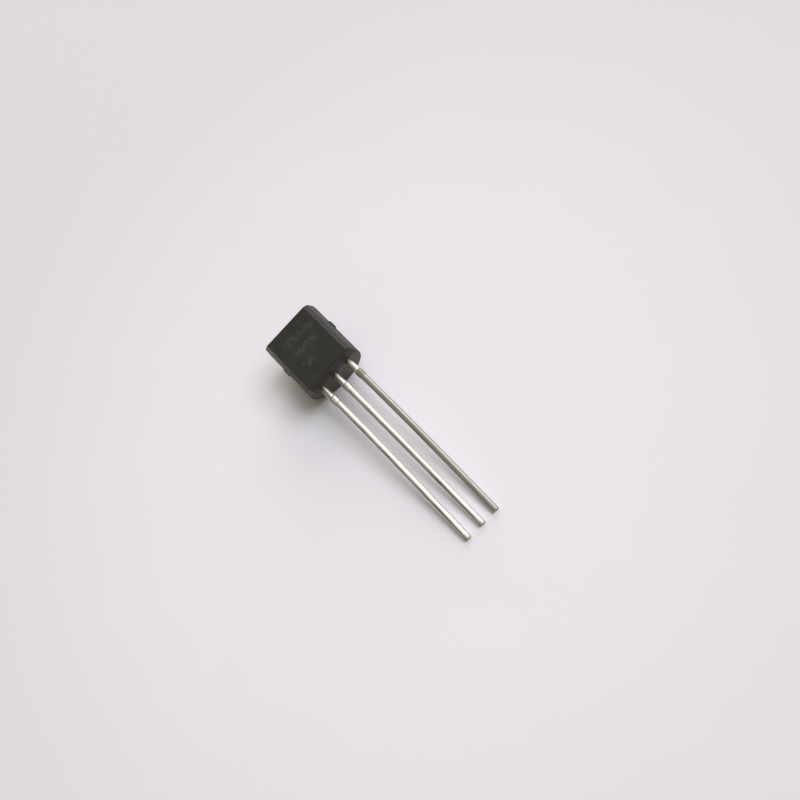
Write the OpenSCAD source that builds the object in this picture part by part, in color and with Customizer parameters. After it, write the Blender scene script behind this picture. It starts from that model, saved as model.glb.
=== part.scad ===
// Three-lead voltage regulator in a small moulded case with one flat face.
// The part lies as it rests on a table: on the lower edge of its round back
// and on the tips of its three leads, with the flat face up.
//
// The pieces are drawn in the case's own axes and then laid down together:
//   x runs from the closed end of the case towards the lead tips,
//   y runs across the case, and
//   z is 0 on the flat face and falls towards the round back.

/* [Case] */
// Width of the case across the parting line
case_w = 4.55; // [4.43:0.01:4.83]
// Length of the case along the leads
case_len = 4.70; // [4.38:0.01:4.78]
// Thickness from the flat face to the round back
case_t = 3.80; // [3.70:0.01:3.86]
// Width of the flat face
flat_w = 3.64; // [3.40:0.01:3.80]
// Width of the bevel along each side of the flat face
bevel_w = 0.29; // [0.15:0.01:0.30]
// Depth of the bevel along each side of the flat face
bevel_depth = 0.25; // [0.15:0.01:0.40]
// Depth of the parting line below the flat face
parting_depth = 1.20; // [1.10:0.01:1.25]
// Draft of each end wall at the flat face
front_inset = 0.08; // [0.04:0.01:0.14]
// Draft of each end wall at the round back
back_inset = 0.12; // [0.08:0.01:0.24]

/* [Marks of the mould] */
// Distance from the closed end to the gate stub on each side
gate_from_end = 1.60; // [1.00:0.05:2.00]
// Length of each gate stub
gate_len = 0.75; // [0.60:0.05:1.20]
// Height of each gate stub above the side wall
gate_proud = 0.10; // [0.05:0.01:0.16]
// Thickness of each gate stub
gate_t = 0.22; // [0.14:0.01:0.30]
// Diameter of the ejector pin mark on the round back
ejector_d = 1.00; // [0.80:0.05:1.20]
// Depth of the ejector pin mark
ejector_depth = 0.10; // [0.09:0.01:0.14]

/* [Leads] */
// Distance between the centre lines of neighbouring leads
lead_pitch = 1.27; // [1.25:0.01:1.29]
// Width of a lead
lead_w = 0.46; // [0.36:0.01:0.56]
// Thickness of a lead
lead_t = 0.38; // [0.33:0.01:0.48]
// Length of a lead outside the case
lead_len = 14.47; // [12.70:0.01:14.87]
// Depth of the leads' front faces below the flat face
lead_depth = 1.10; // [0.92:0.01:1.12]
// Radius of a lead's long edges
lead_edge_r = 0.06; // [0.03:0.01:0.10]

/* [Tie bar stubs] */
// Distance from the case to the sheared stubs of the tie bar
stub_from_case = 1.00; // [0.80:0.05:1.40]
// Length of each stub along its lead
stub_len = 0.57; // [0.40:0.01:0.80]
// Height of each stub above the side of its lead
stub_proud = 0.04; // [0.02:0.01:0.14]

/* [Lead frame in the case] */
// Width of the die pad
pad_w = 2.10; // [1.80:0.05:2.40]
// Length of the die pad
pad_len = 1.70; // [1.50:0.05:1.80]
// Distance from the closed end of the case to the die pad
pad_from_end = 0.60; // [0.50:0.05:0.70]
// Gap between the die pad and the bonding posts
post_gap = 0.28; // [0.20:0.01:0.36]
// Width of each bonding post
post_w = 1.10; // [0.90:0.05:1.20]
// Length of each bonding post, without its taper
post_len = 0.62; // [0.50:0.01:0.70]
// Length of the taper from a post to its lead
post_taper = 0.35; // [0.25:0.01:0.45]
// Radius of the notches that lock each lead in the moulding
lock_r = 0.09; // [0.05:0.01:0.11]

/* [Die and wires] */
// Width of the die
die_w = 1.10; // [0.90:0.05:1.30]
// Length of the die
die_len = 1.20; // [1.00:0.05:1.30]
// Thickness of the die
die_t = 0.25; // [0.20:0.01:0.30]
// Thickness of the layer that holds the die
attach_t = 0.03; // [0.02:0.01:0.05]
// Width of the fillet that the layer leaves around the die
attach_margin = 0.06; // [0.03:0.01:0.10]
// Distance from the edges of the die to the centres of the bonds
bond_inset = 0.14; // [0.10:0.01:0.20]
// Diameter of a bond wire
wire_d = 0.05; // [0.04:0.01:0.06]
// Diameter of the ball at the start of a bond wire
ball_d = 0.12; // [0.09:0.01:0.14]
// Thickness of the ball
ball_t = 0.04; // [0.03:0.01:0.06]
// Straight rise of a bond wire above its ball
wire_rise = 0.06; // [0.04:0.01:0.10]
// Radius of a bond wire's bend
wire_bend_r = 0.12; // [0.08:0.01:0.16]

/* [Hidden] */

$fn = 48;

// Sides of a bond wire and steps of its bend.
wire_sides = 8;
bend_steps = 6;

case_colour = [0.22, 0.21, 0.20];
tin_colour = [0.80, 0.79, 0.76];
silicon_colour = [0.35, 0.38, 0.45];
attach_colour = [0.70, 0.70, 0.72];
wire_colour = [0.90, 0.72, 0.30];

// The round back is a half cylinder as wide as the case.
back_r = case_w / 2;
back_axis_z = back_r - case_t;

// The faces of the lead frame and the planes that its pieces end at.
frame_front_z = -lead_depth;
frame_back_z = frame_front_z - lead_t;
tip_x = case_len + lead_len;
pad_end_x = pad_from_end + pad_len;
post_x = pad_end_x + post_gap;
post_taper_x = post_x + post_len;
post_end_x = post_taper_x + post_taper;
lock_x = (post_end_x + case_len) / 2;

// The die sits on the middle of its pad.
die_x = pad_from_end + pad_len / 2;
attach_front_z = frame_front_z + attach_t;
die_front_z = attach_front_z + die_t;

// A wire starts at the side of the die that faces the posts and ends halfway
// along a post.
bond_x = die_x + die_len / 2 - bond_inset;
bond_y = die_w / 2 - bond_inset;
landing_x = post_x + post_len / 2;

// How far a shape runs past a face that it cuts or joins.
overrun = 0.2;

// Laid down, the part touches at the case's lower back edge and the lead tips.
heel_x = case_len - back_inset;
tilt = atan((case_t - lead_depth - lead_t) / (tip_x - heel_x));
rest_z = heel_x * sin(tilt) + case_t * cos(tilt);
low_x = back_inset * cos(tilt) - case_t * sin(tilt);
high_x = tip_x * cos(tilt) + frame_front_z * sin(tilt);
middle_x = (low_x + high_x) / 2;

// Lays the pieces down on the table, with the origin below the part's middle.
module laid() {
    translate([-middle_x, 0, rest_z])
        rotate([0, tilt, 0])
            children();
}

// Runs an outline drawn across the case, in y and z, along x.
module along_x(from, to) {
    translate([from, 0, 0])
        rotate([90, 0, 90])
            linear_extrude(to - from)
                children();
}

// Runs an outline drawn in x and y up from one height to another.
module along_z(from, to) {
    translate([0, 0, from])
        linear_extrude(to - from)
            children();
}

// Section of the case: a flat with a bevel at each side, drafted walls down to
// the parting line, short straight sides and the round back.
module case_section() {
    bevel_y = flat_w / 2 + bevel_w;
    polygon([
        [-flat_w / 2, 0],
        [flat_w / 2, 0],
        [bevel_y, -bevel_depth],
        [back_r, -parting_depth],
        [back_r, back_axis_z],
        [-back_r, back_axis_z],
        [-back_r, -parting_depth],
        [-bevel_y, -bevel_depth]
    ]);
    intersection() {
        translate([0, back_axis_z])
            circle(r = back_r);
        translate([-back_r, -case_t])
            square([case_w, back_r]);
    }
}

// Side view of the case: both end walls lean in from the parting line.
module case_profile() {
    polygon([
        [front_inset, 0],
        [case_len - front_inset, 0],
        [case_len, -parting_depth],
        [heel_x, -case_t],
        [back_inset, -case_t],
        [0, -parting_depth]
    ]);
}

// Stub of moulding compound broken off at a gate, on one side of the case.
module gate_stub(side) {
    root_y = side * (back_r - overrun);
    wall_y = side * back_r;
    top_y = side * (back_r + gate_proud);
    gate_end = gate_from_end + gate_len;
    along_z(-parting_depth - gate_t, -parting_depth)
        polygon([
            [gate_from_end, root_y],
            [gate_from_end, wall_y],
            [gate_from_end + gate_proud, top_y],
            [gate_end - gate_proud, top_y],
            [gate_end, wall_y],
            [gate_end, root_y]
        ]);
}

// Shallow round mark that an ejector pin leaves on the round back.
module ejector_mark() {
    translate([case_len / 2, 0, -case_t - overrun])
        cylinder(d = ejector_d, h = ejector_depth + overrun);
}

// The case before anything is moulded into it.
module case_form() {
    difference() {
        union() {
            intersection() {
                along_x(0, case_len)
                    case_section();
                rotate([90, 0, 0])
                    linear_extrude(case_w, center = true)
                        case_profile();
            }
            for (side = [-1, 1])
                gate_stub(side);
        }
        ejector_mark();
    }
}

// Section of a lead: a rectangle with its four long edges rounded.
module lead_section() {
    corner_y = lead_w / 2 - lead_edge_r;
    corner_z = lead_t / 2 - lead_edge_r;
    translate([0, (frame_front_z + frame_back_z) / 2]) {
        square([lead_w, 2 * corner_z], center = true);
        square([2 * corner_y, lead_t], center = true);
        for (y = [-corner_y, corner_y], z = [-corner_z, corner_z])
            translate([y, z])
                circle(r = lead_edge_r);
    }
}

// The pair of stubs left on a lead where the tie bar was sheared off.
module tie_bar_stubs() {
    width = lead_w + 2 * stub_proud;
    along_z(frame_back_z, frame_front_z)
        translate([case_len + stub_from_case, -width / 2])
            square([stub_len, width]);
}

// The pair of notches that keep a lead from being pulled out of the case.
module lock_notches() {
    for (y = [-lead_w / 2, lead_w / 2])
        translate([lock_x, y, frame_back_z - overrun])
            cylinder(r = lock_r, h = lead_t + 2 * overrun);
}

// A whole lead from the place where it widens in the case to its tip. The
// children are the outline of what it carries in the case.
module lead(from) {
    difference() {
        union() {
            along_x(from, tip_x)
                lead_section();
            tie_bar_stubs();
            along_z(frame_back_z, frame_front_z)
                children();
        }
        lock_notches();
    }
}

module middle_lead_form() {
    lead(pad_end_x - overrun)
        translate([pad_from_end, -pad_w / 2])
            square([pad_len, pad_w]);
}

// An outer lead ends in a bonding post beside the die pad.
module outer_lead_form(side) {
    translate([0, side * lead_pitch, 0])
        lead(post_x + overrun)
            polygon([
                [post_x, -post_w / 2],
                [post_x, post_w / 2],
                [post_taper_x, post_w / 2],
                [post_end_x, lead_w / 2],
                [post_end_x, -lead_w / 2],
                [post_taper_x, -post_w / 2]
            ]);
}

module die_form() {
    along_z(attach_front_z, die_front_z)
        translate([die_x, 0])
            square([die_len, die_w], center = true);
}

module die_attach_form() {
    along_z(frame_front_z, attach_front_z)
        translate([die_x, 0])
            square([die_len + 2 * attach_margin, die_w + 2 * attach_margin], center = true);
}

// The corners of a bond wire's section: how far across its upright plane and
// how far out from its bend.
wire_corners = [
    for (i = [0:wire_sides - 1])
        wire_d / 2 * [cos(i * 360 / wire_sides), sin(i * 360 / wire_sides)]
];

// The wire's section where its centre line is at along and height in its
// upright plane and has turned by an angle from straight up.
function wire_ring(along, height, turned) = [
    for (corner = wire_corners)
        [along - corner.y * cos(turned), corner.x, height + corner.y * sin(turned)]
];

// The wire's section where it comes down at a slope and ends on the lead frame.
function landing_ring(along, slope) = [
    for (corner = wire_corners)
        [along + corner.y / sin(slope), corner.x, frame_front_z]
];

// A bond wire from the die at start_y to the lead frame at end_y. It rises from
// its ball, bends over and runs straight down to the frame. The bend ends where
// the straight run is its tangent.
module bond_wire_form(start_y, end_y) {
    run = [landing_x - bond_x, end_y - start_y];
    reach = norm(run) - wire_bend_r;
    bend_z = die_front_z + ball_t + wire_rise;
    bend_height = bend_z - frame_front_z;
    slope = atan2(bend_height, reach) + asin(wire_bend_r / norm([reach, bend_height]));
    bend_rings = [
        for (i = [0:bend_steps])
            let (turned = (90 + slope) * i / bend_steps)
            wire_ring(wire_bend_r * (1 - cos(turned)), bend_z + wire_bend_r * sin(turned), turned)
    ];
    rings = concat(
        [wire_ring(0, die_front_z + ball_t / 2, 0)],
        bend_rings,
        [landing_ring(norm(run), slope)]
    );
    last = len(rings) - 1;
    translate([bond_x, start_y, 0])
        rotate([0, 0, atan2(run.y, run.x)]) {
            translate([0, 0, die_front_z])
                cylinder(d = ball_d, h = ball_t);
            polyhedron(
                points = [for (ring = rings, point = ring) point],
                faces = concat(
                    [[for (i = [0:wire_sides - 1]) i]],
                    [
                        for (k = [0:last - 1], i = [0:wire_sides - 1])
                            let (next = (i + 1) % wire_sides, low = k * wire_sides, high = low + wire_sides)
                            [low + i, high + i, high + next, low + next]
                    ],
                    [[for (i = [wire_sides - 1:-1:0]) last * wire_sides + i]]
                )
            );
        }
}

module case() {
    color(case_colour)
        laid()
            difference() {
                case_form();
                middle_lead_form();
                die_attach_form();
                die_form();
                for (side = [-1, 1]) {
                    outer_lead_form(side);
                    bond_wire_form(side * bond_y, side * lead_pitch);
                }
                bond_wire_form(0, 0);
            }
}

module left_lead() {
    color(tin_colour)
        laid()
            outer_lead_form(-1);
}

module middle_lead() {
    color(tin_colour)
        laid()
            middle_lead_form();
}

module right_lead() {
    color(tin_colour)
        laid()
            outer_lead_form(1);
}

module die() {
    color(silicon_colour)
        laid()
            die_form();
}

module die_attach() {
    color(attach_colour)
        laid()
            die_attach_form();
}

module left_bond_wire() {
    color(wire_colour)
        laid()
            bond_wire_form(-bond_y, -lead_pitch);
}

module right_bond_wire() {
    color(wire_colour)
        laid()
            bond_wire_form(bond_y, lead_pitch);
}

module ground_bond_wire() {
    color(wire_colour)
        laid()
            bond_wire_form(0, 0);
}

case();
left_lead();
middle_lead();
right_lead();
die();
die_attach();
left_bond_wire();
right_bond_wire();
ground_bond_wire();
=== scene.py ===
import math
import bmesh
import bpy
from mathutils import Matrix, Vector, noise


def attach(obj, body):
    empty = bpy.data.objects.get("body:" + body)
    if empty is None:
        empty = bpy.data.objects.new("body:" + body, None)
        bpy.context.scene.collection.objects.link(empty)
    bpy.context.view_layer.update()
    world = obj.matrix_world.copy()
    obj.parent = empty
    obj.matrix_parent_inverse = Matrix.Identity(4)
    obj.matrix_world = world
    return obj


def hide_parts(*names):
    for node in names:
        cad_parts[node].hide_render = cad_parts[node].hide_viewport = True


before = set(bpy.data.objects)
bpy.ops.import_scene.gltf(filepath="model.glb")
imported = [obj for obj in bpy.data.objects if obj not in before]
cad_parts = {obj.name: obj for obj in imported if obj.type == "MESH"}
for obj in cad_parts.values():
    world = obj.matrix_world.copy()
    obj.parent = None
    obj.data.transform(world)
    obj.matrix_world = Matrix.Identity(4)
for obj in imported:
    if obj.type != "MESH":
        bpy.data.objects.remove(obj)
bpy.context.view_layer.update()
scene = bpy.context.scene
mm = 0.001  # lengths below are written in millimetres, angles in degrees
print("frame loaded,", len(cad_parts), "nodes")

# x runs from the closed end wall to the lead tips, y across, and z is 0 on the flat face
case = {
    "width": 4.55,
    "length": 4.70,
    "thickness": 3.80,
    "flatWidth": 3.64,
    "bevelWidth": 0.29,
    "bevelDepth": 0.25,
    "partingDepth": 1.20,
    "frontInset": 0.08,  # draft of the end walls at the flat face
    "backInset": 0.12,  # and at the round back
    "backSteps": 48,
    "edgeRadius": 0.045,
    "edgeSegments": 3,
    "edgeAngle": 20,  # edges that turn by more than this are rounded
    "sharpAngle": 30,
    "flashProud": 0.010,  # hair of flash left where the mould halves meet
    "flashHalf": 0.018,
    "ejectorDiameter": 1.00,
    "ejectorDepth": 0.10,
    "ejectorSides": 64,
}

leads = {
    "pitch": 1.27,
    "width": 0.46,
    "thickness": 0.38,
    "length": 14.47,  # outside the case
    "depth": 1.10,  # front faces below the flat face
    "crown": 0.035,  # the tin stands highest along the middle
    "cornerRadius": 0.10,
    "cornerSteps": 5,
    "faceSteps": 6,
    "ringSpacing": 0.12,
    "sharpAngle": 50,
    "stubStart": 1.00,  # the cut tie bar's stubs, from the case
    "stubLength": 0.57,
    "stubProud": 0.04,
    "shearRun": 0.025,  # how fast a sheared step comes up
    "dent": 0.014,  # pressed in at both ends of a stub
    "dentRun": 0.07,
    "bowShape": 0.7,  # below 1, a bow is deepest nearer the case
    "waver": 0.004,  # unevenness of the tin, sideways
    "waverSize": 1.1,
    "swell": 0.02,  # and of the width, as a share
    "swellDetail": 1.9,
    "rowShift": 7.0,  # where in the noise the rows, the rise and the swell are read
    "riseShift": (0, 31, 0),
    "swellShift": (0, 0, 17),
    "tipTrim": 0.025,  # the shears take this off each side of a tip
    "tipTrimThick": 0.015,  # and this off each wide face
    # the tin darkens over the last part of each tip, by this share
    "tipDarkening": 0.7,
    # distances over which these set in, from the case
    "waverFrom": (0, 0.5),
    "tinFrom": (0.08, 0.26),
    # from the start of the stub
    "twistFrom": (-0.1, 0.3),
    "wornFrom": (-0.1, 0.2),
    "stubShadeFrom": (-0.1, 0.1),
    # from its end
    "stubShadeFadeFrom": (0, 0.25),
    # and from the tip
    "tipDarkeningFrom": (-0.6, 0),  # the waver ends over this too
    "tipRoundFrom": (-0.05, 0),
    "tipBareFrom": (-0.03, 0),
}

# the part lies on the case's lower back edge and on the lead tips
backRadius = case["width"] / 2
backAxis = backRadius - case["thickness"]
tipX = case["length"] + leads["length"]
heelX = case["length"] - case["backInset"]
tilt = math.atan((case["thickness"] - leads["depth"] - leads["thickness"]) / (tipX - heelX))
lowX = case["backInset"] * math.cos(tilt) - case["thickness"] * math.sin(tilt)
highX = tipX * math.cos(tilt) - leads["depth"] * math.sin(tilt)
restZ = heelX * math.sin(tilt) + case["thickness"] * math.cos(tilt)
laid = Matrix.Translation((-(lowX + highX) / 2, 0, restZ)) @ Matrix.Rotation(tilt, 4, "Y")
toFrame = Matrix.Scale(mm, 4) @ laid


def smoothStep(low, high, value):
    t = min(max((value - low) / (high - low), 0), 1)
    return t * t * (3 - 2 * t)


# ---- nodes shared by the materials

# a value goes to the input socket of that name, or else to the node's own setting
def addNode(tree, kind, at, **values):
    node = tree.nodes.new(kind)
    node.location = at
    for name, value in values.items():
        if name in node.inputs:
            node.inputs[name].default_value = value
        else:
            setattr(node, name, value)
    return node


def newGroup(name, inputs, outputs):
    group = bpy.data.node_groups.new(name, "ShaderNodeTree")
    for label, value in inputs.items():
        socket = group.interface.new_socket(label, in_out="INPUT", socket_type="NodeSocketFloat")
        socket.default_value = value
    for label in outputs:
        group.interface.new_socket(label, in_out="OUTPUT", socket_type="NodeSocketFloat")
    start = addNode(group, "NodeGroupInput", (-900, 0))
    end = addNode(group, "NodeGroupOutput", (900, 0))
    return group, start, end


# position in the part's own axes, in millimetres
def partPosition(tree, at):
    coords = addNode(tree, "ShaderNodeTexCoord", at)
    place = addNode(tree, "ShaderNodeMapping", (at[0] + 180, at[1]), vector_type="TEXTURE")
    place.inputs["Location"].default_value = toFrame.to_translation()
    place.inputs["Rotation"].default_value = (0, tilt, 0)
    place.inputs["Scale"].default_value = (mm, mm, mm)
    tree.links.new(coords.outputs["Object"], place.inputs["Vector"])
    return place.outputs["Vector"]


# soft cloudy patches, for dirt, handling and uneven tin
def makePatches():
    group, start, end = newGroup("patches", {"Size": 1.0, "Low": 0.4, "High": 0.6, "Stretch": 1.0}, ["Mask"])
    links = group.links
    squash = addNode(group, "ShaderNodeCombineXYZ", (-500, -150), Y=1, Z=1)
    stretched = addNode(group, "ShaderNodeVectorMath", (-300, 0), operation="MULTIPLY")
    scale = addNode(group, "ShaderNodeMath", (-500, -350), operation="DIVIDE")
    scale.inputs[0].default_value = 1
    clouds = addNode(group, "ShaderNodeTexNoise", (-80, 0), Detail=5, Roughness=0.6)
    cut = addNode(group, "ShaderNodeMapRange", (400, 0), interpolation_type="SMOOTHSTEP")
    links.new(start.outputs["Stretch"], squash.inputs["X"])
    links.new(partPosition(group, (-900, 250)), stretched.inputs[0])
    links.new(squash.outputs[0], stretched.inputs[1])
    links.new(start.outputs["Size"], scale.inputs[1])
    links.new(stretched.outputs[0], clouds.inputs["Vector"])
    links.new(scale.outputs[0], clouds.inputs["Scale"])
    links.new(clouds.outputs["Fac"], cut.inputs["Value"])
    links.new(start.outputs["Low"], cut.inputs["From Min"])
    links.new(start.outputs["High"], cut.inputs["From Max"])
    links.new(cut.outputs["Result"], end.inputs["Mask"])
    return group


# fine grain, as a height for bump and as a mask
def makeGrain():
    group, start, end = newGroup("grain", {"Fine": 20.0, "Coarse": 6.0, "Balance": 0.4}, ["Height", "Mask"])
    links = group.links
    position = partPosition(group, (-900, 250))
    fine = addNode(group, "ShaderNodeTexNoise", (-300, 200), Detail=3, Roughness=0.65)
    coarse = addNode(group, "ShaderNodeTexNoise", (-300, -100), Detail=4, Roughness=0.55)
    mix = addNode(group, "ShaderNodeMix", (200, 100), data_type="FLOAT")
    links.new(position, fine.inputs["Vector"])
    links.new(position, coarse.inputs["Vector"])
    links.new(start.outputs["Fine"], fine.inputs["Scale"])
    links.new(start.outputs["Coarse"], coarse.inputs["Scale"])
    links.new(start.outputs["Balance"], mix.inputs[0])
    links.new(fine.outputs["Fac"], mix.inputs[2])
    links.new(coarse.outputs["Fac"], mix.inputs[3])
    links.new(mix.outputs[0], end.inputs["Height"])
    links.new(coarse.outputs["Fac"], end.inputs["Mask"])
    return group


patches = makePatches()
grain = makeGrain()


def useGroup(tree, group, at, **values):
    node = addNode(tree, "ShaderNodeGroup", at)
    node.node_tree = group
    for name, value in values.items():
        node.inputs[name].default_value = value
    return node


def newMaterial(name, **shaderValues):
    material = bpy.data.materials.new(name)
    material.use_nodes = True
    shader = material.node_tree.nodes["Principled BSDF"]
    for label, value in shaderValues.items():
        shader.inputs[label.replace("_", " ")].default_value = value
    return material, material.node_tree, shader


# each colour is a fixed one or the socket that gives it
def mixColours(tree, at, factor, first, second):
    mix = addNode(tree, "ShaderNodeMix", at, data_type="RGBA")
    tree.links.new(factor, mix.inputs[0])
    for socket, colour in ((mix.inputs[6], first), (mix.inputs[7], second)):
        if isinstance(colour, tuple):
            socket.default_value = (*colour, 1)
        else:
            tree.links.new(colour, socket)
    return mix.outputs[2]


def mathNode(tree, at, operation, first, second=None):
    node = addNode(tree, "ShaderNodeMath", at, operation=operation)
    for socket, value in zip(node.inputs, (first, second)):
        if isinstance(value, (int, float)):
            socket.default_value = value
        elif value is not None:
            tree.links.new(value, socket)
    return node.outputs[0]


# a mask from 0 to 1, spread between two values
def spread(tree, at, value, low, high):
    node = addNode(tree, "ShaderNodeMapRange", at)
    tree.links.new(value, node.inputs["Value"])
    node.inputs["To Min"].default_value = low
    node.inputs["To Max"].default_value = high
    return node.outputs["Result"]


# a mask that falls from 1 to 0 as a value goes from near to far
def falloff(tree, at, value, near, far):
    node = addNode(tree, "ShaderNodeMapRange", at, interpolation_type="SMOOTHSTEP")
    tree.links.new(value, node.inputs["Value"])
    for label, number in (("From Min", near), ("From Max", far), ("To Min", 1), ("To Max", 0)):
        node.inputs[label].default_value = number
    return node.outputs["Result"]


# a mask of 1 near a middle value, which falls to 0 at half away from it
def band(tree, at, value, middle, half, core=0.6):
    away = mathNode(tree, at, "SUBTRACT", value, middle)
    away = mathNode(tree, (at[0] + 150, at[1]), "ABSOLUTE", away)
    return falloff(tree, (at[0] + 300, at[1]), away, half * core, half)


def bumpFrom(tree, at, height, settings):
    strength, depth = settings["bumpStrength"], settings["bumpDepth"]
    bump = addNode(tree, "ShaderNodeBump", at, Strength=strength, Distance=depth)
    tree.links.new(height, bump.inputs["Height"])
    return bump.outputs["Normal"]


print("node groups made")


# ---- moulded case

moulding = {
    "dark": (0.010, 0.0098, 0.0080),
    "pale": (0.018, 0.0175, 0.0145),
    "scuffed": (0.050, 0.0485, 0.043),
    "scuffedShare": 0.75,
    "copperBloom": (0.052, 0.037, 0.025),
    "bloomShare": 0.6,
    "brownEnd": (0.047, 0.039, 0.014),
    "brownShare": 0.7,
    # painted reflection: the pale rim on the left bevel
    "paintedRimReflection": (0.180, 0.177, 0.165),
    "shine": 0.45,
    "dullShine": 0.28,
    "roughLow": 0.40,
    "roughHigh": 0.54,
    "bumpStrength": 1.0,
    "bumpDepth": 0.012 * mm,
    # rubbed rows on the flat face: how far along, middle and half length of each
    "rows": ((1.23, 0.18, 1.55), (2.20, 0.10, 1.40), (3.18, -0.50, 0.60)),
    "rowHalfHeight": 0.34,
    # the marks fade out between these distances
    "rowsBelow": (0.01, 0.06),  # below the flat face
    "endInward": (0.10, 0.30),  # in from the end wall with the leads
    "dullBelow": (0.5, 1.4),
    "bloomAway": (0.20, 0.62),  # from the middle of a lead
    "rimInward": (-0.07, 0.05),  # in from the flat face's left edge
    "rimBelow": (0.7, 1.3),
    "rimAlong": (0.4, 3.4),
    "rimLeast": 0.45,  # what is left of the rim at the leads
}


# faint rubbed rows on the flat face
def rubbedRows(tree, x, y, below):
    onFlat = falloff(tree, (-1100, 500), below, *moulding["rowsBelow"])
    rows = 0
    for k, (along, middle, halfLength) in enumerate(moulding["rows"]):
        low = -200 - 200 * k
        height = band(tree, (-1300, low), x, along, moulding["rowHalfHeight"])
        length = band(tree, (-1300, low - 100), y, middle, halfLength)
        row = mathNode(tree, (-900, low), "MULTIPLY", height, length)
        rows = mathNode(tree, (-750, low), "ADD", rows, row)
    worn = useGroup(tree, patches, (-1000, 100), Size=0.38, Low=0.40, High=0.66)
    rows = mathNode(tree, (-450, 200), "MULTIPLY", rows, onFlat)
    return mathNode(tree, (-300, 200), "MULTIPLY", rows, worn.outputs["Mask"])


# brown bloom round each lead
def leadBloom(tree, y, z):
    up = mathNode(tree, (-1200, -1050), "ADD", z, leads["depth"] + leads["thickness"] / 2)
    upSquared = mathNode(tree, (-1050, -1600), "POWER", up, 2)
    bloom = 0
    for k in (-1, 0, 1):
        low = -1200 - 150 * k
        aside = mathNode(tree, (-1200, low), "SUBTRACT", y, k * leads["pitch"])
        asideSquared = mathNode(tree, (-1050, low), "POWER", aside, 2)
        distance = mathNode(tree, (-900, low), "ADD", asideSquared, upSquared)
        distance = mathNode(tree, (-750, low), "SQRT", distance)
        near = falloff(tree, (-600, low), distance, *moulding["bloomAway"])
        bloom = mathNode(tree, (-450, low), "MAXIMUM", bloom, near)
    return bloom


# a pale rim painted along the left bevel, a painted reflection of the paper at a grazing angle, which fades
# towards the leads
def paintedRimReflection(tree, x, y, below):
    inward = mathNode(tree, (-1200, -2300), "ADD", y, case["flatWidth"] / 2)
    rim = falloff(tree, (-1000, -2300), inward, *moulding["rimInward"])
    along = falloff(tree, (-1200, -2500), x, *moulding["rimAlong"])
    along = spread(tree, (-1000, -2500), along, moulding["rimLeast"], 1.0)
    front = falloff(tree, (-1000, -2700), below, *moulding["rimBelow"])
    rim = mathNode(tree, (-800, -2300), "MULTIPLY", rim, along)
    return mathNode(tree, (-600, -2300), "MULTIPLY", rim, front)


def makeMoulding():
    material, tree, shader = newMaterial("moulding")
    links = tree.links
    axes = addNode(tree, "ShaderNodeSeparateXYZ", (-1500, 0))
    links.new(partPosition(tree, (-1900, 0)), axes.inputs[0])
    x, y, z = axes.outputs
    below = mathNode(tree, (-1350, -2000), "MULTIPLY", z, -1)
    inward = mathNode(tree, (-1200, -900), "SUBTRACT", case["length"], x)
    onEnd = falloff(tree, (-1000, -900), inward, *moulding["endInward"])
    bloom = mathNode(tree, (-300, -1000), "MULTIPLY", leadBloom(tree, y, z), onEnd)

    # the end wall is dull near the flat face and brownish towards the back
    front = falloff(tree, (-1000, -2000), below, *moulding["dullBelow"])
    dullEnd = mathNode(tree, (-800, -2000), "MULTIPLY", front, onEnd)
    brownEnd = mathNode(tree, (-600, -2000), "SUBTRACT", onEnd, dullEnd)

    clouds = useGroup(tree, patches, (-600, 500), Size=1.6, Low=0.30, High=0.70)
    base = mixColours(tree, (-100, 500), clouds.outputs["Mask"], moulding["dark"], moulding["pale"])
    marks = (
        (rubbedRows(tree, x, y, below), moulding["scuffedShare"], moulding["scuffed"]),
        (bloom, moulding["bloomShare"], moulding["copperBloom"]),
        (brownEnd, moulding["brownShare"], moulding["brownEnd"]),
        # the pale rim is a painted reflection
        (paintedRimReflection(tree, x, y, below), 1, moulding["paintedRimReflection"]),
    )
    for k, (mask, share, colour) in enumerate(marks):
        factor = mathNode(tree, (-50 + 200 * k, 100), "MULTIPLY", mask, share)
        base = mixColours(tree, (100 + 200 * k, 400), factor, base, colour)
    links.new(base, shader.inputs["Base Color"])
    shine = spread(tree, (300, -100), dullEnd, moulding["shine"], moulding["dullShine"])
    links.new(shine, shader.inputs["Specular IOR Level"])
    fine = useGroup(tree, grain, (-600, 800), Fine=26.0, Coarse=8.0, Balance=0.35)
    rough = spread(tree, (100, 700), fine.outputs["Mask"], moulding["roughLow"], moulding["roughHigh"])
    links.new(rough, shader.inputs["Roughness"])
    links.new(bumpFrom(tree, (100, 900), fine.outputs["Height"], moulding), shader.inputs["Normal"])
    return material


# the D outline across the case in three stretches: front and right seam, round back, left seam
def caseOutline():
    half = case["flatWidth"] / 2
    shoulder = half + case["bevelWidth"]
    seam, proud = case["partingDepth"], backRadius + case["flashProud"]
    lip = case["flashHalf"]
    front = [(shoulder, -case["bevelDepth"]), (half, 0), (-half, 0), (-shoulder, -case["bevelDepth"])]
    right = [(backRadius, -seam + lip), (proud, -seam)]
    back = [(backRadius, -seam - lip)]
    for k in range(case["backSteps"] + 1):
        angle = math.pi * k / case["backSteps"]
        back.append((backRadius * math.cos(angle), backAxis - backRadius * math.sin(angle)))
    back.append((-backRadius, -seam - lip))
    left = [(-proud, -seam), (-backRadius, -seam + lip)]
    return front[::-1] + right, back, left


# how far an end wall leans in at a height z
def endInset(z):
    seam = case["partingDepth"]
    if z > -seam:
        return case["frontInset"] * (z + seam) / seam
    return case["backInset"] * (-z - seam) / (case["thickness"] - seam)


# a skin of faces from each ring of vertices to the next
def skinRings(bm, rings):
    for before, after in zip(rings, rings[1:]):
        for k in range(len(before)):
            follow = (k + 1) % len(before)
            bm.faces.new((before[k], before[follow], after[follow], after[k]))


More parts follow.
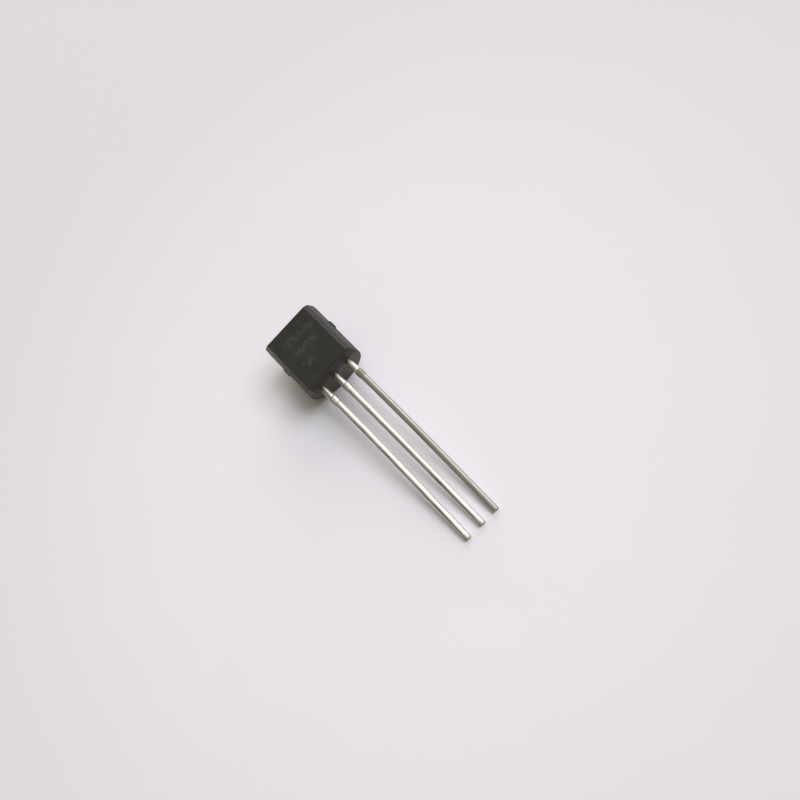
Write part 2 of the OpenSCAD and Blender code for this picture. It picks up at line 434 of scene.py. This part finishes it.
def makeCaseMesh():
    bm = bmesh.new()
    upper, lower, closing = caseOutline()
    outline = upper + lower + closing
    rings = []
    for end in (-1, 1):
        ring = []
        for y, z in outline:
            inset = endInset(z)
            x = inset if end < 0 else case["length"] - inset
            ring.append(bm.verts.new((x, y, z)))
        rings.append(ring)
    skinRings(bm, rings)
    count = len(outline)
    seamRight = len(upper) - 1
    seamLeft = len(upper) + len(lower)
    for ring in rings:  # each end wall is two leaning faces that meet at the seam
        bm.faces.new([ring[k % count] for k in range(seamLeft, count + seamRight + 1)])
        bm.faces.new(ring[seamRight:seamLeft + 1])
    bmesh.ops.recalc_face_normals(bm, faces=bm.faces[:])
    return bm


# a stub of moulding broken off at the gate, with a ragged top
gate = {
    "fromEnd": 1.60,
    "length": 0.75,
    "proud": 0.10,
    "seamProud": 0.80,  # share of that at the parting line
    "thickness": 0.22,
    "sunk": 0.20,
    "columns": 14,
    "rows": 5,
    "riseShare": 0.13,  # of its length, at each end
    "ragged": 0.022,
    "raggedAlong": 7,  # noise to a millimetre
    "raggedDown": 9,
    "sideShift": 5,
    "edgeRadius": 0.012,
    "edgeSegments": 2,
    "edgeAngle": 35,
}


def makeGateMesh(side):
    bm = bmesh.new()
    top = []
    for j in range(gate["rows"] + 1):
        line = []
        for i in range(gate["columns"] + 1):
            u, v = i / gate["columns"], j / gate["rows"]
            x = gate["fromEnd"] + gate["length"] * u
            z = -case["partingDepth"] - gate["thickness"] * v
            slope = min(smoothStep(0, gate["riseShare"], u), smoothStep(0, gate["riseShare"], 1 - u))
            at = Vector((x * gate["raggedAlong"], z * gate["raggedDown"], side * gate["sideShift"]))
            rough = noise.noise(at) * gate["ragged"]
            height = gate["proud"] * (gate["seamProud"] + (1 - gate["seamProud"]) * v)
            lift = (height - abs(rough)) * slope
            line.append(bm.verts.new((x, side * (backRadius + lift), z)))
        top.append(line)
    for lower, higher in zip(top, top[1:]):
        for i in range(gate["columns"]):
            bm.faces.new((lower[i], lower[i + 1], higher[i + 1], higher[i]))
    rim = [e for e in bm.edges if e.is_boundary]
    grown = bmesh.ops.extrude_edge_only(bm, edges=rim)["geom"]
    for vert in (g for g in grown if isinstance(g, bmesh.types.BMVert)):
        vert.co.y = side * (backRadius - gate["sunk"])
    bmesh.ops.holes_fill(bm, edges=[e for e in bm.edges if e.is_boundary])
    bmesh.ops.recalc_face_normals(bm, faces=bm.faces[:])
    return bm


def addObject(name, bm, material):
    mesh = bpy.data.meshes.new(name)
    bm.to_mesh(mesh)
    bm.free()
    mesh.transform(toFrame)
    mesh.materials.append(material)
    mesh.shade_smooth()
    piece = bpy.data.objects.new(name, mesh)
    scene.collection.objects.link(piece)
    return piece


def applyModifiers(piece):
    graph = bpy.context.evaluated_depsgraph_get()
    shaped = bpy.data.meshes.new_from_object(piece.evaluated_get(graph), depsgraph=graph)
    piece.modifiers.clear()
    piece.data = shaped


def softenEdges(piece, settings):
    bevel = piece.modifiers.new("softEdges", "BEVEL")
    bevel.limit_method = "ANGLE"
    bevel.angle_limit = math.radians(settings["edgeAngle"])
    bevel.width = settings["edgeRadius"] * mm
    bevel.segments = settings["edgeSegments"]
    weights = piece.modifiers.new("flatFaces", "WEIGHTED_NORMAL")
    weights.keep_sharp = True
    applyModifiers(piece)


# the round mark that an ejector pin left in the back
def cutEjectorMark(shell, material):
    radius, pinLength = case["ejectorDiameter"] / 2, 1
    pin = bmesh.new()
    bmesh.ops.create_cone(
        pin, segments=case["ejectorSides"], cap_ends=True, radius1=radius, radius2=radius, depth=pinLength,
    )
    sink = -case["thickness"] + case["ejectorDepth"] - pinLength / 2
    bmesh.ops.translate(pin, verts=pin.verts[:], vec=(case["length"] / 2, 0, sink))
    cutter = addObject("ejectorCutter", pin, material)
    cut = shell.modifiers.new("ejectorMark", "BOOLEAN")
    cut.object = cutter
    cut.solver = "EXACT"
    applyModifiers(shell)
    bpy.data.objects.remove(cutter)


def buildCase(material):
    shell = addObject("caseShell", makeCaseMesh(), material)
    cutEjectorMark(shell, material)
    shell.data.set_sharp_from_angle(angle=math.radians(case["sharpAngle"]))
    softenEdges(shell, case)
    stubs = [addObject(f"gateStub{side}", makeGateMesh(side), material) for side in (-1, 1)]
    for stub in stubs:
        softenEdges(stub, gate)
    with bpy.context.temp_override(active_object=shell, selected_editable_objects=[shell, *stubs]):
        bpy.ops.object.join()
    return shell


# ---- leads

# where the leads widen inside the case
inner = {
    "padFromEnd": 0.60,
    "padLength": 1.70,
    "padWidth": 2.10,
    "padStep": 0.01,
    "postGap": 0.28,
    "postWidth": 1.10,
    "postLength": 0.62,
    "postTaper": 0.35,
}
leadHalf = leads["width"] / 2
stubX = case["length"] + leads["stubStart"]
stubEndX = stubX + leads["stubLength"]


# once round a rounded rectangle with crowned wide faces
def leadSection(halfWidth, halfThick):
    radius = min(leads["cornerRadius"], halfWidth, halfThick)
    points = []
    for quarter in range(4):
        signY, signZ = ((1, 1), (-1, 1), (-1, -1), (1, -1))[quarter]
        for k in range(leads["cornerSteps"] + 1):
            turn = math.pi / 2 * (k / leads["cornerSteps"] + quarter)
            y = signY * (halfWidth - radius) + radius * math.cos(turn)
            z = signZ * (halfThick - radius) + radius * math.sin(turn)
            points.append((y, z))
        if quarter in (0, 2):  # the wide faces get points of their own
            reach = halfWidth - radius
            for k in range(1, leads["faceSteps"]):
                share = 1 - 2 * k / leads["faceSteps"]
                points.append((signY * reach * share, signZ * halfThick))
    crowned = []
    for y, z in points:
        drop = leads["crown"] * (1 - math.cos(math.pi / 2 * min(abs(y) / halfWidth, 1)))
        crowned.append((y, z - math.copysign(drop, z)))
    return crowned


# half the width of a lead along its length, as (x, half width) steps
def leadSteps(isMiddle):
    padEnd = inner["padFromEnd"] + inner["padLength"]
    if isMiddle:
        wide = inner["padWidth"] / 2
        steps = [(inner["padFromEnd"], wide), (padEnd - inner["padStep"], wide), (padEnd, leadHalf)]
    else:
        start, wide = padEnd + inner["postGap"], inner["postWidth"] / 2
        taper = start + inner["postLength"]
        steps = [(start, wide), (taper, wide), (taper + inner["postTaper"], leadHalf)]
    run, proud = leads["shearRun"], leadHalf + leads["stubProud"]
    steps += [(stubX, leadHalf), (stubX + run, proud), (stubEndX - run, proud), (stubEndX, leadHalf)]
    return steps + [(tipX, leadHalf)]


def widthAt(steps, x):
    for (x0, w0), (x1, w1) in zip(steps, steps[1:]):
        if x <= x1:
            return w0 + (w1 - w0) * (x - x0) / (x1 - x0)
    return steps[-1][1]


# where the rings of a lead's mesh stand
def ringPlaces(steps):
    places = {x for x, _ in steps}
    for edge in (stubX, stubEndX):
        places |= {edge + leads["dentRun"] * share for share in (-1, -0.5, 0.5, 1)}
    places |= {tipX + leads["tipRoundFrom"][0] * share for share in (0.4, 1)}
    x = steps[0][0]
    while x < tipX:
        places.add(x)
        x += leads["ringSpacing"]
    return sorted({round(place, 4) for place in places})


# rises from 0 to 1 as x passes a place, between the two distances of a setting
def setIn(setting, place, x):
    near, far = leads[setting]
    return smoothStep(place + near, place + far, x)


# how bare the tin is at a place along a lead, and how dull and dark, with painted shade at the dents and on
# the stub, each from 0 to 1
def tinWearAndShade(x, dent, worn, dentShade, paintedStubShade):
    bareness = max(1 - setIn("tinFrom", case["length"], x), setIn("tipBareFrom", tipX, x))
    onStub = setIn("stubShadeFrom", stubX, x) * (1 - setIn("stubShadeFadeFrom", stubEndX, x))
    # the dent and stub shares are painted shade: darker tin where the tin is pressed in and on the stub
    dullnessAndShade = max(
        worn * setIn("wornFrom", stubX, x), dentShade * dent, paintedStubShade * onStub,
        leads["tipDarkening"] * setIn("tipDarkeningFrom", tipX, x),
    )
    return bareness, dullnessAndShade


# how far the middle of a lead lies from a straight line, and how its width swells there
def leadSway(x, row, seed, bow, lean):
    outside = setIn("waverFrom", case["length"], x)
    settled = 1 - setIn("tipDarkeningFrom", tipX, x)
    at = Vector((x / leads["waverSize"], row * leads["rowShift"], seed))
    sway = Vector((0, noise.noise(at), noise.noise(at + Vector(leads["riseShift"]))))
    sway *= leads["waver"] * outside * settled
    reach = min(max((x - case["length"]) / leads["length"], 0), 1)
    sway.y += bow * math.sin(math.pi * reach ** leads["bowShape"]) + lean * reach
    uneven = noise.noise(at * leads["swellDetail"] + Vector(leads["swellShift"]))
    return sway, 1 + leads["swell"] * uneven * outside


def makeLeadMesh(row, seed, twist, bow, lean, worn, dentShade, paintedStubShade):
    bm = bmesh.new()
    bare = bm.verts.layers.float.new("bare")
    dullAndShade = bm.verts.layers.float.new("dullAndShade")
    steps = leadSteps(row == 0)
    middle = -leads["depth"] - leads["thickness"] / 2
    rings = []
    for x in ringPlaces(steps):
        sway, swell = leadSway(x, row, seed, bow, lean)
        roll = Matrix.Rotation(math.radians(twist) * setIn("twistFrom", stubX, x), 3, "X")
        trim = setIn("tipRoundFrom", tipX, x)
        halfWidth = (widthAt(steps, x) - leads["tipTrim"] * trim) * swell
        halfThick = leads["thickness"] / 2 - leads["tipTrimThick"] * trim
        dent = max(0, *(1 - abs(x - edge) / leads["dentRun"] for edge in (stubX, stubEndX)))
        bareness, dullnessAndShade = tinWearAndShade(x, dent, worn, dentShade, paintedStubShade)
        ring = []
        for y, z in leadSection(halfWidth, halfThick):
            spot = roll @ Vector((0, y, z - math.copysign(leads["dent"] * dent, z)))
            vert = bm.verts.new((x, row * leads["pitch"] + spot.y + sway.y, middle + spot.z + sway.z))
            sheared = 0
            if stubX <= x <= stubEndX:
                sheared = smoothStep(0.25, 0.75, (abs(y) - leadHalf) / leads["stubProud"])
            vert[bare] = max(bareness, sheared)
            vert[dullAndShade] = dullnessAndShade
            ring.append(vert)
        rings.append(ring)
    skinRings(bm, rings)
    bm.faces.new(rings[0])
    bm.faces.new(rings[-1])
    bmesh.ops.recalc_face_normals(bm, faces=bm.faces[:])
    return bm


tin = {
    "bright": (0.82, 0.803, 0.775),
    "dull": (0.70, 0.683, 0.648),
    # the darker tin, for dull tin and for painted shade at the dents and on the stub
    "worn": (0.36, 0.343, 0.313),
    "bareMetal": (0.34, 0.27, 0.19),
    "roughLow": 0.27,
    "roughHigh": 0.37,
    "roughWorn": 0.58,
    "bumpStrength": 0.6,
    "bumpDepth": 0.0025 * mm,
}


def makeTin():
    material, tree, shader = newMaterial("tinnedLead", Metallic=1.0)
    links = tree.links
    clouds = useGroup(tree, patches, (-700, 300), Size=0.9, Low=0.45, High=0.75, Stretch=0.25)
    streaks = useGroup(tree, patches, (-700, 0), Size=0.16, Low=0.35, High=0.65, Stretch=0.10)
    fine = useGroup(tree, grain, (-700, -300), Fine=30.0, Coarse=7.0, Balance=0.5)
    bare = addNode(tree, "ShaderNodeAttribute", (-700, 600), attribute_name="bare")
    dullAndShade = addNode(tree, "ShaderNodeAttribute", (-700, 800), attribute_name="dullAndShade")
    base = mixColours(tree, (-300, 300), clouds.outputs["Mask"], tin["bright"], tin["dull"])
    # darker where dulled, which also paints shade at the dents and on the stub
    base = mixColours(tree, (-200, 400), dullAndShade.outputs["Fac"], base, tin["worn"])
    base = mixColours(tree, (-100, 500), bare.outputs["Fac"], base, tin["bareMetal"])
    links.new(base, shader.inputs["Base Color"])
    rough = spread(tree, (-400, 0), streaks.outputs["Mask"], tin["roughLow"], tin["roughHigh"])
    extra = mathNode(tree, (-400, 150), "MULTIPLY", dullAndShade.outputs["Fac"], tin["roughWorn"] - tin["roughLow"])
    links.new(mathNode(tree, (-200, 0), "ADD", rough, extra), shader.inputs["Roughness"])
    links.new(bumpFrom(tree, (-300, -300), fine.outputs["Height"], tin), shader.inputs["Normal"])
    return material


# ---- what the case holds, seen only when it is taken away

hidden = {
    "silicon": {
        "nodes": ["die"],
        "low": (0.06, 0.07, 0.10), "high": (0.11, 0.13, 0.19), "size": 0.20, "rough": 0.18,
    },
    "attach": {
        "nodes": ["die_attach"],
        "low": (0.38, 0.38, 0.40), "high": (0.60, 0.60, 0.62), "size": 0.06, "rough": 0.5,
    },
    "bondWire": {
        "nodes": ["left_bond_wire", "right_bond_wire", "ground_bond_wire"],
        "low": (0.72, 0.48, 0.16), "high": (0.90, 0.66, 0.28), "size": 0.10, "rough": 0.22,
    },
}


def makeHidden(name, finish):
    material, tree, shader = newMaterial(name, Metallic=1.0, Roughness=finish["rough"])
    clouds = useGroup(tree, patches, (-500, 200), Size=finish["size"], Low=0.35, High=0.65)
    base = mixColours(tree, (-200, 200), clouds.outputs["Mask"], finish["low"], finish["high"])
    tree.links.new(base, shader.inputs["Base Color"])
    return material


# ---- putting it together

caseShell = buildCase(makeMoulding())
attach(caseShell, "root")
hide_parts("case")
print("case built")

# worn dulls and darkens the tin from the stub on; the dent share paints shade where the tin is pressed in,
# and the stub share paints shade on the stub
leadRows = {
    "left_lead": {
        "row": -1, "seed": 3.0, "twist": -3, "bow": 0.08, "lean": 0.035,
        "worn": 0.0, "dentShade": 0.9, "paintedStubShade": 0.15,
    },
    "middle_lead": {
        "row": 0, "seed": 8.0, "twist": -1, "bow": 0.03, "lean": 0.06,
        "worn": 0.0, "dentShade": 0.35, "paintedStubShade": 0.0,
    },
    "right_lead": {
        "row": 1, "seed": 14.0, "twist": 12, "bow": 0.07, "lean": 0.01,
        "worn": 0.75, "dentShade": 0.9, "paintedStubShade": 0.95,
    },
}
tinned = makeTin()
for node, shape in leadRows.items():
    strip = addObject(node.replace("_", "") + "Strip", makeLeadMesh(**shape), tinned)
    strip.data.set_sharp_from_angle(angle=math.radians(leads["sharpAngle"]))
    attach(strip, "root")
    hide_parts(node)
print("leads built")

for name, finish in hidden.items():
    material = makeHidden(name, finish)
    for node in finish["nodes"]:
        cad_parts[node].data.materials.clear()
        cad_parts[node].data.materials.append(material)
print("inner pieces finished")


# ---- table, light and camera

paper = {
    "size": 600,
    "light": (0.785, 0.779, 0.856),
    "dark": (0.757, 0.752, 0.828),
    # the paper far from the part: darker, as a painted falloff of the light
    "away": (0.700, 0.696, 0.766),
    "mottle": 120.0,
    "near": 12 * mm,  # distances from the part's middle between which the paper darkens, a painted falloff of the light
    "far": 40 * mm,
}


def makePaper():
    material, tree, shader = newMaterial("paper", Roughness=0.9, Specular_IOR_Level=0.2)
    coords = addNode(tree, "ShaderNodeTexCoord", (-900, 0))
    clouds = addNode(tree, "ShaderNodeTexNoise", (-600, 0), Scale=paper["mottle"], Detail=4, Roughness=0.6)
    tree.links.new(coords.outputs["Object"], clouds.inputs["Vector"])
    base = mixColours(tree, (-300, 0), clouds.outputs["Fac"], paper["light"], paper["dark"])
    reach = addNode(tree, "ShaderNodeVectorMath", (-600, 300), operation="LENGTH")
    tree.links.new(coords.outputs["Object"], reach.inputs[0])
    # painted light: the paper is lighter near the part and darker away from it
    paintedLightPool = falloff(tree, (-300, 300), reach.outputs["Value"], paper["near"], paper["far"])
    base = mixColours(tree, (-100, 0), paintedLightPool, paper["away"], base)
    tree.links.new(base, shader.inputs["Base Color"])
    return material


def makeTable():
    bm = bmesh.new()
    bmesh.ops.create_grid(bm, x_segments=2, y_segments=2, size=paper["size"] / 2 * mm)
    mesh = bpy.data.meshes.new("table")
    bm.to_mesh(mesh)
    bm.free()
    mesh.materials.append(makePaper())
    table = bpy.data.objects.new("table", mesh)
    scene.collection.objects.link(table)


# azimuth and height say where a lamp stands from the part
lamps = {
    "window": {
        "azimuth": 66, "height": 52, "distance": 3000,
        "size": 1800, "power": 60.5, "colour": (0.94, 0.935, 1.0),
    },
    "skylight": {
        "azimuth": 85, "height": 72, "distance": 3000,
        "size": 1600, "power": 16, "colour": (1.0, 0.98, 0.95),
    },
    "doorway": {
        "azimuth": 130, "height": 24, "distance": 3000,
        "size": 2800, "power": 46, "colour": (1.0, 0.93, 0.82),
    },
}


def addLamp(name, lamp):
    data = bpy.data.lights.new(name, "AREA")
    data.shape = "DISK"
    data.size = lamp["size"] * mm
    data.energy = lamp["power"]
    data.color = lamp["colour"]
    light = bpy.data.objects.new(name, data)
    azimuth, height = math.radians(lamp["azimuth"]), math.radians(lamp["height"])
    level = math.cos(height)
    away = Vector((math.cos(azimuth) * level, math.sin(azimuth) * level, math.sin(height)))
    light.location = away * lamp["distance"] * mm
    light.rotation_euler = away.to_track_quat("Z", "Y").to_euler()
    scene.collection.objects.link(light)


room = {
    "walls": (0.175, 0.158, 0.103),
    "ceiling": (0.33, 0.305, 0.220),
    "corner": (0.07, 0.069, 0.058),  # a dark part of the ceiling, over the left leads
    "cornerSide": (0, -0.64, 0.77),
    "cornerRim": 0.82,
    "cornerCore": 0.93,
    "wallLow": 0.25,  # height of a direction, as its z share
    "wallHigh": 0.50,
}


def makeRoom():
    world = bpy.data.worlds.new("room")
    world.use_nodes = True
    tree = world.node_tree
    coords = addNode(tree, "ShaderNodeTexCoord", (-900, 0))
    axes = addNode(tree, "ShaderNodeSeparateXYZ", (-700, 200))
    facing = addNode(tree, "ShaderNodeVectorMath", (-700, 0), operation="DOT_PRODUCT")
    facing.inputs[1].default_value = room["cornerSide"]
    tree.links.new(coords.outputs["Generated"], axes.inputs[0])
    tree.links.new(coords.outputs["Generated"], facing.inputs[0])
    low = falloff(tree, (-500, 200), axes.outputs["Z"], room["wallLow"], room["wallHigh"])
    clear = falloff(tree, (-500, 0), facing.outputs["Value"], room["cornerRim"], room["cornerCore"])
    colour = mixColours(tree, (-300, 200), low, room["ceiling"], room["walls"])
    colour = mixColours(tree, (-150, 0), clear, room["corner"], colour)
    tree.links.new(colour, tree.nodes["Background"].inputs["Color"])
    scene.world = world


camera = {
    "place": (31.69, 6.83, 60.12),
    "target": (-0.209, 1.893, 1.5),
    "roll": -54.245,
    "lens": 45.07,
    "sensorWidth": 36,
}


def addCamera():
    data = bpy.data.cameras.new("camera")
    data.lens = camera["lens"]
    data.sensor_width = camera["sensorWidth"]
    data.sensor_fit = "HORIZONTAL"
    data.clip_start = 1 * mm
    eye = bpy.data.objects.new("camera", data)
    place, target = Vector(camera["place"]) * mm, Vector(camera["target"]) * mm
    look = (target - place).to_track_quat("-Z", "Y").to_matrix().to_4x4()
    roll = Matrix.Rotation(math.radians(camera["roll"]), 4, "Z")
    eye.matrix_world = Matrix.Translation(place) @ look @ roll
    scene.collection.objects.link(eye)
    scene.camera = eye


makeTable()
for name, lamp in lamps.items():
    addLamp(name, lamp)
makeRoom()
addCamera()
scene.view_settings.view_transform = "Standard"
print("table, light and camera set")
